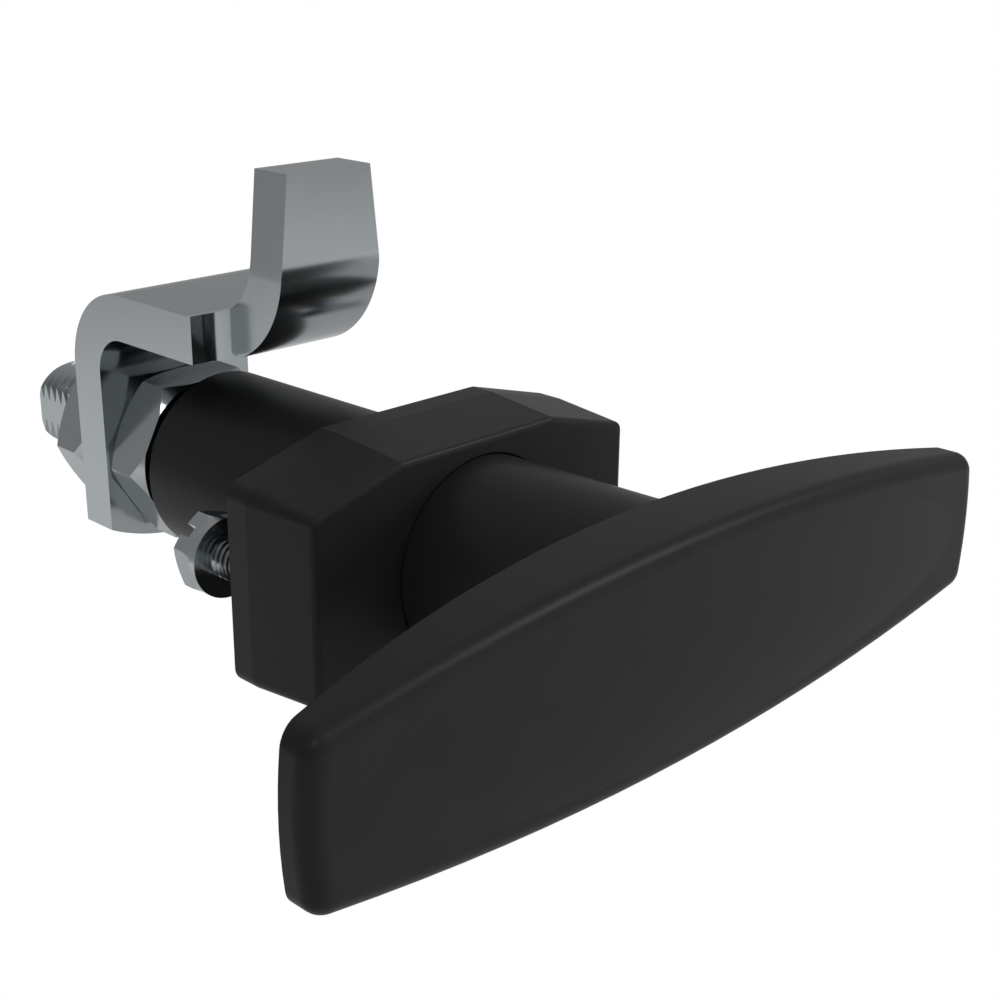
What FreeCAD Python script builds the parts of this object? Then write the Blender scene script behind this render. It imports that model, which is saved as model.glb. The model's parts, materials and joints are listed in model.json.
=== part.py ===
import FreeCAD, Part

import os

import Sketcher

from FreeCAD import Placement, Rotation, Vector

# T-handle compression latch. X runs along the handle, +Y points through the
# panel into the cabinet, +Z is up, the way the cam points when latched.
# The origin is where the spindle's axis meets the back face of the flange.
# Latched is the drawn position: the cam is up and pulled towards the panel.

doc = FreeCAD.newDocument("compression_latch")

# Driving dimensions in millimetres and degrees

DIMENSIONS = [
    ("flange_length", 40.2, "octagonal flange at the panel"),
    ("flange_height", 24.2, "flange height at the panel"),
    ("flange_top_length", 19.0, "flat top and bottom edges of the octagon"),
    ("flange_side_height", 18.4, "upright end edges of the octagon"),
    ("flange_depth", 10.8, "flange thickness in front of the panel"),
    ("flange_rim", 2.6, "undrafted rim next to the panel"),
    ("flange_draft", 5.0, "draft of the flange in front of the rim, degrees"),
    ("flange_corner_round", 1.5, "rounding between end and slanted facets"),
    ("flange_edge_round", 0.6, "front edge rounding"),
    ("barrel_length", 27.8, "barrel behind the panel"),
    ("barrel_root_radius", 9.9, "barrel radius at the panel"),
    ("barrel_tip_radius", 9.65, "barrel radius at its rear end"),
    ("front_bore_radius", 7.4, "bearing bore for the drive sleeve"),
    ("rear_bore_radius", 8.2, "larger bore behind the shoulder"),
    ("shoulder_station", 10.0, "shoulder between the bores, from the panel"),
    ("recess_clearance", 0.2, "gap round the stem in its flange recess"),
    ("recess_depth", 1.6, "depth of that recess"),
    ("seal_station", 5.5, "stem seal, in front of the panel"),
    ("seal_ring_radius", 8.0, "centre line radius of the stem seal"),
    ("seal_section", 1.2, "section diameter of the stem seal"),
    ("seal_side_room", 0.18, "seal groove past the seal, each side"),
    ("gasket_inner", 10.2, "inner radius of the panel gasket"),
    ("gasket_outer", 11.4, "outer radius of the panel gasket"),
    ("gasket_groove", 1.0, "depth of the gasket groove"),
    ("gasket_sink", 0.05, "gasket face below the flange back"),
    ("screw_inset", 3.8, "fixing screws in from the flange's ends"),
    ("screw_radius", 2.0, "fixing screw shank radius"),
    ("screw_reach", 6.7, "screw length inside the flange"),
    ("screw_tip_chamfer", 0.4, "chamfer at the screw tip"),
    ("screw_grip", 5.3, "head bearing face behind the flange"),
    ("screw_collar_radius", 3.9, "collar of the screw head"),
    ("screw_collar_depth", 0.9, "collar thickness"),
    ("screw_hex_across", 7.0, "screw head across flats"),
    ("screw_hex_depth", 2.5, "hexagon height above the collar"),
    ("screw_face_radius", 3.4, "round face of the screw head"),
    ("screw_chamfer_slope", 30.0, "chamfer of the screw head, degrees from the face"),
    ("screw_slot_width", 1.2, "driver slot width"),
    ("screw_slot_depth", 1.3, "driver slot depth"),
    ("insert_radius", 2.6, "threaded insert outer radius"),
    ("insert_length", 8.0, "threaded insert length"),
    ("insert_waist", 0.3, "depth of the groove round the insert"),
    ("insert_waist_width", 1.0, "width of that groove at its floor"),
    ("screw_tip_room", 0.8, "drill depth past the insert"),
    ("stem_root_radius", 9.75, "handle stem radius at the flange"),
    ("stem_grip_radius", 10.15, "handle stem radius at the grip"),
    ("grip_length", 83.2, "T-grip from end to end"),
    ("grip_height", 20.3, "T-grip height at the middle"),
    ("grip_end_height", 13.3, "T-grip height at its ends"),
    ("grip_end_rise", 0.6, "how far the end faces bow out"),
    ("grip_front", 37.1, "flat grip front, from the panel"),
    ("grip_rear", 29.4, "grip back at the middle, from the panel"),
    ("grip_end_rear", 34.0, "grip back at its ends, from the panel"),
    ("grip_corner_round", 2.0, "rounding of the four grip corners"),
    ("grip_edge_round", 1.7, "rounding of the front edges"),
    ("crown_end_inset", 3.7, "crowned oval inside the grip ends"),
    ("crown_side_inset", 1.8, "that oval inside the grip edges"),
    ("crown_rise", 0.6, "how far the crown stands out"),
    ("sleeve_outer", 7.35, "drive sleeve outer radius"),
    ("sleeve_inner", 5.95, "drive sleeve inner radius"),
    ("sleeve_front", 25.0, "drive sleeve front end, from the panel"),
    ("sleeve_rear", 12.4, "drive sleeve rear end, behind the panel"),
    ("clip_thickness", 1.0, "retaining rings"),
    ("clip_groove_radius", 6.75, "groove in the drive sleeve"),
    ("clip_outer", 8.1, "drive clip outer radius"),
    ("clip_gap", 70.0, "open angle of the drive clip, degrees"),
    ("washer_thickness", 0.8, "wear and thrust washers"),
    ("guide_outer", 5.9, "guide sleeve outer radius"),
    ("guide_inner", 5.05, "guide sleeve bore radius"),
    ("guide_front", 7.0, "guide sleeve front end, from the panel"),
    ("collar_radius", 8.15, "guide sleeve collar radius"),
    ("collar_thickness", 2.0, "guide sleeve collar"),
    ("tail_radius", 6.4, "guide sleeve tail radius"),
    ("lug_length", 2.4, "stop lug behind the collar"),
    ("lug_angle", 24.0, "stop lug width, degrees"),
    ("bush_key_width", 2.0, "key on the stop bush"),
    ("bush_key_height", 0.55, "key height above the bush"),
    ("bush_key_length", 6.0, "key from the rear end forwards"),
    ("bush_lip", 0.9, "rear lip of the stop bush"),
    ("lip_clearance", 0.2, "rear lip round the spindle"),
    ("ring_groove_radius", 8.8, "groove for the barrel ring"),
    ("ring_inset", 0.6, "barrel behind that groove"),
    ("ring_inner", 7.0, "barrel ring inner radius"),
    ("ring_gap", 40.0, "open angle of the barrel ring, degrees"),
    ("ring_lug_radius", 1.25, "lugs at the ends of the barrel ring"),
    ("ring_lug_turn", 10.0, "lug centre behind the ring's end, degrees"),
    ("ring_eye_radius", 0.55, "holes in those lugs"),
    ("quarter_angle", 90.0, "each stage of the handle turn, degrees"),
    ("pull_travel", 6.0, "cam pull in the clamping stage"),
    ("pin_radius", 1.5, "cross pin radius"),
    ("pin_length", 14.5, "cross pin length"),
    ("pin_chamfer", 0.2, "chamfered ends of the cross pin"),
    ("pin_station", 1.0, "latched cross pin, in front of the panel"),
    ("spindle_radius", 5.0, "spindle radius over the thread"),
    ("spindle_front", 7.5, "spindle front end, from the panel"),
    ("spindle_tail", 11.74, "spindle behind the lock nut"),
    ("spindle_chamfer", 0.7, "chamfered ends of the spindle"),
    ("flats_across", 8.0, "across the two spindle flats"),
    ("flats_front", 8.6, "where the flats begin"),
    ("nut_across", 17.0, "spindle nuts across flats"),
    ("nut_thickness", 6.0, "spindle nuts"),
    ("nut_face_radius", 8.3, "round face of the nuts"),
    ("nut_chamfer_slope", 40.0, "chamfers of the nuts, degrees from the face"),
    ("nut_turn", 2.2, "where the nuts came to rest, degrees"),
    ("nut_gap", 2.2, "adjusting nut behind the barrel"),
    ("cam_width", 19.0, "cam strap width"),
    ("cam_thickness", 4.76, "cam strap thickness"),
    ("cam_drop", 10.0, "cam below the spindle axis, at its middle"),
    ("cam_drop_radius", 21.6, "rounded lower end of the cam"),
    ("cam_run_height", 18.7, "top of the cam's forward run"),
    ("cam_rear_bend", 4.25, "inner radius of the rear bend"),
    ("cam_front_bend", 6.0, "inner radius of the front bend"),
    ("tongue_face", 9.33, "tongue's clamping face, behind the panel"),
    ("tongue_top", 32.95, "top of the tongue above the axis"),
    ("tongue_width", 12.0, "tongue width where it leaves the strap"),
    ("tongue_top_width", 10.0, "tongue width at its top"),
    ("tongue_taper_start", 23.5, "height where the tongue starts to taper"),
    ("step_station", 19.2, "where the strap steps in to the tongue"),
    ("step_round", 2.2, "fillet of that step"),
    ("spring_radius", 4.2, "spring mean radius"),
    ("spring_wire", 1.1, "spring wire diameter"),
    ("spring_turns", 4.5, "spring turns"),
    ("set_screw_station", 19.0, "set screw, in front of the panel"),
    ("set_screw_radius", 2.0, "set screw radius"),
    ("set_screw_point", 1.25, "radius of its dog point"),
    ("set_screw_outer", 9.7, "outer end of the set screw from the axis"),
    ("set_screw_socket", 2.0, "its hexagon socket across flats"),
    ("set_screw_socket_depth", 1.4, "depth of that socket"),
    ("set_screw_cone", 0.3, "cone between its thread and dog point"),
    ("set_screw_short", 0.3, "dog point short of the sleeve's bore"),
    ("spring_room", 0.05, "between the spring and its seats"),
    ("end_clearance", 0.3, "inside the stop bush, past the sleeve tail"),
    ("running_clearance", 0.05, "turning and sliding fits, radial or axial"),
    ("slot_clearance", 0.1, "cross pin in its slots, each side"),
    ("stop_clearance", 1.0, "stop lug in its arc, each side, degrees"),
]

sheet = doc.addObject("Spreadsheet::Sheet", "Dims")
for row, (alias, value, note) in enumerate(DIMENSIONS, start=1):
    sheet.set("A%d" % row, alias)
    sheet.set("B%d" % row, str(value))
    sheet.set("C%d" % row, note)
    sheet.setAlias("B%d" % row, alias)
doc.recompute()


def size(alias):
    """The number that a cell of the sheet holds."""
    return float(sheet.get(alias))


# Helpers for bodies, sketches and features

scale = doc.addObject("App::FeaturePython", "scale")
scale.addProperty("App::PropertyFloat", "reading")


def number(expression):
    """What an expression on the sheet comes to, for drawing a sketch near its place."""
    scale.setExpression("reading", "(%s) / 1" % expression)
    scale.recompute()
    return scale.reading


def new_body(label):
    body = doc.addObject("PartDesign::Body", label)
    body.Label = label
    return body


def new_sketch(body, name, role="XY_Plane", height=None):
    """A sketch on one of the body's own planes, lifted by an expression."""
    sketch = body.newObject("Sketcher::SketchObject", name)
    plane = [f for f in body.Origin.OriginFeatures if f.Role == role][0]
    sketch.AttachmentSupport = (plane, [""])
    sketch.MapMode = "FlatFace"
    if height is not None:
        sketch.setExpression(".AttachmentOffset.Base.z", height)
    return sketch


def dimension(sketch, kind, geometry, expression):
    """A sketch dimension that follows an expression."""
    index = sketch.addConstraint(Sketcher.Constraint(kind, *geometry, number(expression)))
    sketch.setExpression("Constraints[%d]" % index, expression)


def fix_point(sketch, geometry, end, across, up):
    """Holds a point of a line or arc at a place measured from the sketch's origin."""
    dimension(sketch, "DistanceX", (-1, 1, geometry, end), across)
    dimension(sketch, "DistanceY", (-1, 1, geometry, end), up)


def point(across, up):
    return Vector(number(across), number(up), 0)


def join_ends(sketch, run):
    """Closes a run of lines and arcs, the end of each on the start of the next."""
    for i, index in enumerate(run):
        sketch.addConstraint(Sketcher.Constraint("Coincident", index, 2, run[(i + 1) % len(run)], 1))


def polygon(sketch, corners):
    """A closed run of straight lines through corners given as expressions."""
    places = [point(*corner) for corner in corners]
    sides = zip(places, places[1:] + places[:1])
    run = [sketch.addGeometry(Part.LineSegment(a, b), False) for a, b in sides]
    join_ends(sketch, run)
    for index, corner in zip(run, corners):
        fix_point(sketch, index, 1, *corner)


def box_corners(left, right, low, high):
    return [(left, low), (right, low), (right, high), (left, high)]


def circle(sketch, across, up, radius):
    index = sketch.addGeometry(Part.Circle(point(across, up), Vector(0, 0, 1), number(radius)), False)
    fix_point(sketch, index, 3, across, up)
    dimension(sketch, "Radius", (index,), radius)


def regular(sketch, sides, across_flats, turn=0, centre=("0", "0")):
    """A regular polygon with a corner at the angle turn."""
    corner = "(%s) + %s / 2 / cos(%g) * %s(%s)"
    corners = []
    for i in range(sides):
        angle = "%s + %g" % (turn, 360 / sides * i)
        corners.append((corner % (centre[0], across_flats, 180 / sides, "cos", angle),
                        corner % (centre[1], across_flats, 180 / sides, "sin", angle)))
    polygon(sketch, corners)


def arc(sketch, start, middle, end, centre, radius):
    """An arc drawn through three places, then held by its centre and radius."""
    index = sketch.addGeometry(Part.Arc(point(*start), point(*middle), point(*end)), False)
    fix_point(sketch, index, 3, *centre)
    dimension(sketch, "Radius", (index,), radius)
    return index


def line(sketch, start, end):
    return sketch.addGeometry(Part.LineSegment(point(*start), point(*end)), False)


def double_d(sketch, radius, across_flats):
    """A round hole with two upright flats, centred on the sketch's origin."""
    side = "(%s) / 2" % across_flats
    rise = "sqrt((%s)^2 - (%s)^2)" % (radius, side)
    right_top, left_top = (side, rise), ("-" + side, rise)
    left_low, right_low = ("-" + side, "-" + rise), (side, "-" + rise)
    top = arc(sketch, right_top, ("0", radius), left_top, ("0", "0"), radius)
    left = line(sketch, left_top, left_low)
    low = arc(sketch, left_low, ("0", "-(%s)" % radius), right_low, ("0", "0"), radius)
    right = line(sketch, right_low, right_top)
    join_ends(sketch, [top, left, low, right])
    for index, end, place in ((top, 1, side), (top, 2, "-" + side), (low, 1, "-" + side), (low, 2, side)):
        dimension(sketch, "DistanceX", (-1, 1, index, end), place)


def beyond_arc(sketch, half_width, apex, radius, way):
    """The area past the outer side of an arc: up (way 1) or down (way -1) to a level line."""
    centre = "(%s - %d * (%s))" % (apex, way, radius)
    low = "%s + %d * sqrt((%s)^2 - (%s)^2)" % (centre, way, radius, half_width)
    level = "%s + %d" % (apex, 2 * way)
    right = "%d * (%s)" % (way, half_width)
    left = "%d * (%s)" % (-way, half_width)
    curve = arc(sketch, (right, low), ("0", apex), (left, low), ("0", centre), radius)
    dimension(sketch, "DistanceX", (-1, 1, curve, 1), right)
    dimension(sketch, "DistanceX", (-1, 1, curve, 2), left)
    up = line(sketch, (left, low), (left, level))
    over = line(sketch, (left, level), (right, level))
    down = line(sketch, (right, level), (right, low))
    join_ends(sketch, [curve, up, over, down])
    fix_point(sketch, over, 1, left, level)
    fix_point(sketch, over, 2, right, level)


def pad(body, name, sketch, length, reverse=False, both_ways=False, draft=None):
    feature = body.newObject("PartDesign::Pad", name)
    feature.Profile = sketch
    feature.setExpression("Length", length)
    feature.Reversed = reverse
    feature.Midplane = both_ways
    if draft is not None:
        feature.setExpression("TaperAngle", draft)
    return feature


def pocket(body, name, sketch, length=None, reverse=False, both_ways=False):
    """A cut of a given length, or right through where none is given."""
    feature = body.newObject("PartDesign::Pocket", name)
    feature.Profile = sketch
    feature.Reversed = reverse
    feature.Midplane = both_ways
    if length is None:
        feature.Type = "ThroughAll"
    else:
        feature.setExpression("Length", length)
    return feature


def turned(body, name, corners, kind="PartDesign::Revolution", angle="360"):
    """A revolved ring or groove about the spindle axis: corners are radius and station."""
    sketch = new_sketch(body, name + "_profile")
    polygon(sketch, corners)
    feature = body.newObject(kind, name)
    feature.Profile = sketch
    feature.ReferenceAxis = (sketch, ["V_Axis"])
    feature.setExpression("Angle", angle)
    return feature


def groove(body, name, corners):
    return turned(body, name, corners, "PartDesign::Groove")


def dress(body, kind, name, base, wanted, radius):
    """Fillets or chamfers the edges of base that the test wanted accepts."""
    doc.recompute()
    edges = ["Edge%d" % i for i, e in enumerate(base.Shape.Edges, start=1) if wanted(e)]
    feature = body.newObject("PartDesign::" + kind, name)
    feature.Base = (base, edges)
    feature.setExpression("Radius" if kind == "Fillet" else "Size", radius)
    return feature


def middle(edge):
    """The point half way along an edge."""
    return edge.valueAt((edge.FirstParameter + edge.LastParameter) / 2)


def pair(label, body):
    """The same piece on both sides of the barrel, as one node of two solids."""
    other = doc.addObject("Part::Mirroring", label + "_other_side")
    other.Source = body
    other.Normal = Vector(1, 0, 0)
    both = doc.addObject("Part::Compound", label)
    both.Label = label
    both.Links = [body, other]
    return both


def hex_chamfer(body, name, across_flats, face_radius, slope, station, way):
    """Turns the corners of a hexagon down to a round face; way is 1 on a rear face."""
    corner = "(%s / 2 / cos(30) + %s)" % (across_flats, OVER)
    fall = "(%s - %s) * tan(%s)" % (corner, face_radius, slope)
    low, high = ("-", "+") if way > 0 else ("+", "-")
    groove(body, name, [
        (face_radius, station),
        (corner, "%s %s %s" % (station, low, fall)),
        (corner, "%s %s %s" % (station, high, OVER)),
        (face_radius, "%s %s %s" % (station, high, OVER)),
    ])


SUB_PARTS = []

# Cuts run this far past a face, and a form that joins another starts this far inside it
OVER = "0.5"
# An edge this near an end, or nearer to a station than NEAR, is taken to lie there
END_ZONE = 1.5
NEAR = 0.01

# Stations along the spindle axis that several pieces share

FLANGE_FRONT = "-Dims.flange_depth"
RECESS_FLOOR = "-(Dims.flange_depth - Dims.recess_depth)"
RECESS_RADIUS = "(Dims.stem_root_radius + Dims.recess_clearance)"
WASHER_FRONT = RECESS_FLOOR + " - Dims.washer_thickness"
STEM_END = WASHER_FRONT + " - Dims.running_clearance"
CLIP_FRONT = "Dims.shoulder_station + Dims.running_clearance"
CLIP_REAR = CLIP_FRONT + " + Dims.clip_thickness"
THRUST_FRONT = "Dims.sleeve_rear + Dims.running_clearance"
COLLAR_FRONT = THRUST_FRONT + " + Dims.washer_thickness"
COLLAR_REAR = COLLAR_FRONT + " + Dims.collar_thickness"
BUSH_FRONT = COLLAR_REAR + " + Dims.running_clearance"
RING_REAR = "Dims.barrel_length - Dims.ring_inset"
BUSH_REAR = RING_REAR + " - Dims.clip_thickness"
TAIL_END = BUSH_REAR + " - Dims.bush_lip - Dims.end_clearance"
NUT_FRONT = "Dims.barrel_length + Dims.nut_gap"
CAM_FRONT = NUT_FRONT + " + Dims.nut_thickness"
CAM_REAR = CAM_FRONT + " + Dims.cam_thickness"
SPINDLE_REAR = CAM_REAR + " + Dims.nut_thickness + Dims.spindle_tail"
PIN_SLOT_FRONT = "-Dims.pin_station - Dims.pin_radius - Dims.slot_clearance"
PIN_SLOT_REAR = "Dims.pull_travel - Dims.pin_station + Dims.pin_radius + Dims.slot_clearance"

# Housing: the octagonal flange and the barrel are one moulding

housing = new_body("housing")
SLANT_RISE = "(Dims.flange_height - Dims.flange_side_height)"
SLANT = "(atan(%s / (Dims.flange_length - Dims.flange_top_length)) / 1 deg)" % SLANT_RISE
HALF_TURN = "((90 - %s) / 2)" % SLANT
ROUND = "Dims.flange_corner_round"
ROUND_REACH = "(%s * tan(%s))" % (ROUND, HALF_TURN)


def flange_outline(name, height=None):
    """An octagon whose four corners next to the upright ends are rounded."""
    sketch = new_sketch(housing, name, "XZ_Plane", height)
    half = "Dims.flange_length / 2"
    shoulder = "Dims.flange_side_height / 2"
    upright = (half, "(%s - %s)" % (shoulder, ROUND_REACH))
    slanted = ("(%s - %s * cos(%s))" % (half, ROUND_REACH, SLANT),
               "(%s + %s * sin(%s))" % (shoulder, ROUND_REACH, SLANT))
    centre = ("(%s - %s)" % (half, ROUND), upright[1])
    bend = ("(%s + %s * cos(%s))" % (centre[0], ROUND, HALF_TURN),
            "(%s + %s * sin(%s))" % (centre[1], ROUND, HALF_TURN))
    top = ("Dims.flange_top_length / 2", "Dims.flange_height / 2")

    def at(place, across, up):
        return ("%d * %s" % (across, place[0]), "%d * %s" % (up, place[1]))

    run = []
    arcs = []
    for across, up in ((1, 1), (-1, 1), (-1, -1), (1, -1)):
        first, last = (upright, slanted) if across == up else (slanted, upright)
        corner = arc(sketch, at(first, across, up), at(bend, across, up), at(last, across, up),
                     at(centre, across, up), ROUND)
        arcs.append((corner, across, up))
        if across == up:
            over = line(sketch, at(slanted, across, up), at(top, across, up))
            level = line(sketch, at(top, across, up), at(top, -across, up))
            fall = line(sketch, at(top, -across, up), at(slanted, -across, up))
            run += [corner, over, level, fall]
            fix_point(sketch, level, 1, *at(top, across, up))
            fix_point(sketch, level, 2, *at(top, -across, up))
        else:
            side = line(sketch, at(upright, across, up), at(upright, across, -up))
            run += [corner, side]
    join_ends(sketch, run)
    for corner, across, up in arcs:
        upright_end, slanted_end = (1, 2) if across == up else (2, 1)
        dimension(sketch, "DistanceY", (-1, 1, corner, upright_end), at(upright, across, up)[1])
        dimension(sketch, "DistanceX", (-1, 1, corner, slanted_end), at(slanted, across, up)[0])
    return sketch


nose = pad(housing, "nose", flange_outline("nose_outline", "Dims.flange_rim"),
           "Dims.flange_depth - Dims.flange_rim")
doc.recompute()


def level_faces(shape, station):
    """Names of the faces that lie square to the axis at a station."""
    return ["Face%d" % i for i, face in enumerate(shape.Faces, start=1)
            if all(abs(v.Point.y - station) < NEAR for v in face.Vertexes)]


nose_root = level_faces(nose.Shape, -size("flange_rim"))
nose_front = level_faces(nose.Shape, -size("flange_depth"))
all_faces = ["Face%d" % i for i in range(1, len(nose.Shape.Faces) + 1)]
drafted = housing.newObject("PartDesign::Draft", "nose_draft")
drafted.Base = (nose, [name for name in all_faces if name not in nose_root + nose_front])
drafted.NeutralPlane = (nose, nose_root)
drafted.setExpression("Angle", "Dims.flange_draft")
drafted.Reversed = True
doc.recompute()


def is_flange_front(edge):
    return all(abs(v.Point.y + size("flange_depth")) < NEAR for v in edge.Vertexes)


dress(housing, "Fillet", "front_round", drafted, is_flange_front, "Dims.flange_edge_round")
pad(housing, "rim", flange_outline("rim_outline"), "Dims.flange_rim")
turned(housing, "barrel", [
    ("0", "-" + OVER),
    ("Dims.barrel_root_radius", "-" + OVER),
    ("Dims.barrel_root_radius", "0"),
    ("Dims.barrel_tip_radius", "Dims.barrel_length"),
    ("0", "Dims.barrel_length"),
])
groove(housing, "bores", [
    ("0", FLANGE_FRONT + " - " + OVER),
    (RECESS_RADIUS, FLANGE_FRONT + " - " + OVER),
    (RECESS_RADIUS, RECESS_FLOOR),
    ("Dims.front_bore_radius", RECESS_FLOOR),
    ("Dims.front_bore_radius", "Dims.shoulder_station"),
    ("Dims.rear_bore_radius", "Dims.shoulder_station"),
    ("Dims.rear_bore_radius", "Dims.barrel_length + " + OVER),
    ("0", "Dims.barrel_length + " + OVER),
])
SEAL_HALF_GROOVE = "(Dims.seal_section / 2 + Dims.seal_side_room)"
groove(housing, "seal_groove", box_corners(
    "Dims.front_bore_radius - " + OVER, "Dims.seal_ring_radius + Dims.seal_section / 2",
    "-Dims.seal_station - " + SEAL_HALF_GROOVE, "-Dims.seal_station + " + SEAL_HALF_GROOVE))
groove(housing, "ring_groove", box_corners(
    "Dims.rear_bore_radius - " + OVER, "Dims.ring_groove_radius", BUSH_REAR, RING_REAR))
groove(housing, "gasket_groove_cut", box_corners(
    "Dims.gasket_inner", "Dims.gasket_outer", "-Dims.gasket_groove", OVER))

SCREW_PLACE = "(Dims.flange_length / 2 - Dims.screw_inset)"
insert_holes = new_sketch(housing, "insert_holes", "XZ_Plane")
tip_holes = new_sketch(housing, "tip_holes", "XZ_Plane")
for side in (-1, 1):
    circle(insert_holes, "%d * %s" % (side, SCREW_PLACE), "0", "Dims.insert_radius")
    circle(tip_holes, "%d * %s" % (side, SCREW_PLACE), "0", "Dims.screw_radius")
pocket(housing, "insert_pockets", insert_holes, "Dims.insert_length", reverse=True)
pocket(housing, "tip_pockets", tip_holes, "Dims.insert_length + Dims.screw_tip_room", reverse=True)

keyway = new_sketch(housing, "keyway_outline", "XZ_Plane", "-Dims.barrel_length")
KEY_DEPTH = "-Dims.rear_bore_radius - Dims.bush_key_height"
KEY_ROOT = "-Dims.rear_bore_radius + " + OVER
polygon(keyway, box_corners(
    "-Dims.bush_key_width / 2", "Dims.bush_key_width / 2", KEY_DEPTH, KEY_ROOT))
KEYWAY_LENGTH = "Dims.ring_inset + Dims.clip_thickness + Dims.bush_key_length"
pocket(housing, "keyway", keyway, KEYWAY_LENGTH, reverse=True)
SUB_PARTS.append(housing)

# Panel gasket in the groove round the barrel

panel_gasket = new_body("panel_gasket")
turned(panel_gasket, "ring", box_corners(
    "Dims.gasket_inner", "Dims.gasket_outer", "-Dims.gasket_groove", "-Dims.gasket_sink"))
SUB_PARTS.append(panel_gasket)

# Threaded brass inserts in the flange, one per fixing screw

insert = new_body("insert")
WAIST_RADIUS = "Dims.insert_radius - Dims.insert_waist"
WAIST_FRONT = "(-Dims.insert_length - Dims.insert_waist_width) / 2"
WAIST_REAR = "(-Dims.insert_length + Dims.insert_waist_width) / 2"
turned(insert, "sleeve", [
    ("Dims.screw_radius", "-Dims.insert_length"),
    ("Dims.insert_radius", "-Dims.insert_length"),
    ("Dims.insert_radius", WAIST_FRONT + " - Dims.insert_waist"),
    (WAIST_RADIUS, WAIST_FRONT),
    (WAIST_RADIUS, WAIST_REAR),
    ("Dims.insert_radius", WAIST_REAR + " + Dims.insert_waist"),
    ("Dims.insert_radius", "0"),
    ("Dims.screw_radius", "0"),
])
insert.setExpression(".Placement.Base.x", "-" + SCREW_PLACE)
SUB_PARTS.append(pair("threaded_inserts", insert))

# Fixing screws: hexagon heads with a collar and a driver slot

screw = new_body("screw")
turned(screw, "shank_and_collar", [
    ("0", "-Dims.screw_reach"),
    ("Dims.screw_radius - Dims.screw_tip_chamfer", "-Dims.screw_reach"),
    ("Dims.screw_radius", "-Dims.screw_reach + Dims.screw_tip_chamfer"),
    ("Dims.screw_radius", "Dims.screw_grip"),
    ("Dims.screw_collar_radius", "Dims.screw_grip"),
    ("Dims.screw_collar_radius", "Dims.screw_grip + Dims.screw_collar_depth"),
    ("0", "Dims.screw_grip + Dims.screw_collar_depth"),
])
head_outline = new_sketch(screw, "head_outline", "XZ_Plane", "-Dims.screw_grip - Dims.screw_collar_depth")
HEAD_TURN = 44
regular(head_outline, 6, "Dims.screw_hex_across", HEAD_TURN)
pad(screw, "hexagon_head", head_outline, "Dims.screw_hex_depth", reverse=True)
HEAD_TOP = "Dims.screw_grip + Dims.screw_collar_depth + Dims.screw_hex_depth"
hex_chamfer(screw, "head_chamfer", "Dims.screw_hex_across", "Dims.screw_face_radius",
            "Dims.screw_chamfer_slope", HEAD_TOP, 1)
slot_outline = new_sketch(screw, "slot_outline", "XZ_Plane", "-(%s)" % HEAD_TOP)
SLOT_TURN = Rotation(Vector(0, 0, 1), HEAD_TURN + 90)
slot_outline.AttachmentOffset = Placement(slot_outline.AttachmentOffset.Base, SLOT_TURN)
polygon(slot_outline, box_corners(
    "-Dims.screw_hex_across", "Dims.screw_hex_across",
    "-Dims.screw_slot_width / 2", "Dims.screw_slot_width / 2"))
pocket(screw, "driver_slot", slot_outline, "Dims.screw_slot_depth", reverse=True)
screw.setExpression(".Placement.Base.x", "-" + SCREW_PLACE)
SUB_PARTS.append(pair("fixing_screws", screw))

# Stem seal, a ring in the flange bore round the drive sleeve

stem_seal = doc.addObject("Part::Torus", "stem_seal")
stem_seal.Label = "stem_seal"
stem_seal.setExpression("Radius1", "Dims.seal_ring_radius")
stem_seal.setExpression("Radius2", "Dims.seal_section / 2")
stem_seal.Placement = Placement(Vector(0, 0, 0), Rotation(Vector(1, 0, 0), 90))
stem_seal.setExpression(".Placement.Base.y", "-Dims.seal_station")
SUB_PARTS.append(stem_seal)

# Wear washer between the handle stem and the flange

wear_washer = new_body("wear_washer")
turned(wear_washer, "ring", box_corners(
    "Dims.front_bore_radius", RECESS_RADIUS + " - Dims.slot_clearance", WASHER_FRONT, RECESS_FLOOR))
SUB_PARTS.append(wear_washer)

# Stop bush: closes the barrel and stops the guide sleeve after a quarter turn

stop_bush = new_body("stop_bush")
TAIL_BORE = "Dims.tail_radius + Dims.running_clearance"
LIP_BORE = "Dims.spindle_radius + Dims.lip_clearance"
turned(stop_bush, "ring", [
    (TAIL_BORE, BUSH_FRONT),
    ("Dims.rear_bore_radius", BUSH_FRONT),
    ("Dims.rear_bore_radius", BUSH_REAR),
    (LIP_BORE, BUSH_REAR),
    (LIP_BORE, BUSH_REAR + " - Dims.bush_lip"),
    (TAIL_BORE, BUSH_REAR + " - Dims.bush_lip"),
])
STOP_HALF_ANGLE = "((Dims.quarter_angle + Dims.lug_angle) / 2 + Dims.stop_clearance)"
stop_arc = new_sketch(stop_bush, "stop_arc_outline", "XZ_Plane", "-(%s)" % BUSH_FRONT)
STOP_RIM = "(Dims.rear_bore_radius + %s)" % OVER
STOP_SIDE = "%s * tan(%s)" % (STOP_RIM, STOP_HALF_ANGLE)
polygon(stop_arc, [("0", "0"), (STOP_SIDE, STOP_RIM), ("-" + STOP_SIDE, STOP_RIM)])
pocket(stop_bush, "stop_arc", stop_arc, "Dims.lug_length + Dims.end_clearance")
key_outline = new_sketch(stop_bush, "key_outline", "XZ_Plane", "-(%s)" % BUSH_REAR)
polygon(key_outline, box_corners(
    "-Dims.bush_key_width / 2", "Dims.bush_key_width / 2", KEY_DEPTH, KEY_ROOT))
pad(stop_bush, "key", key_outline, "Dims.bush_key_length")
SUB_PARTS.append(stop_bush)

# Barrel ring: spring ring with two lugs that keeps the stop bush in

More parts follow.
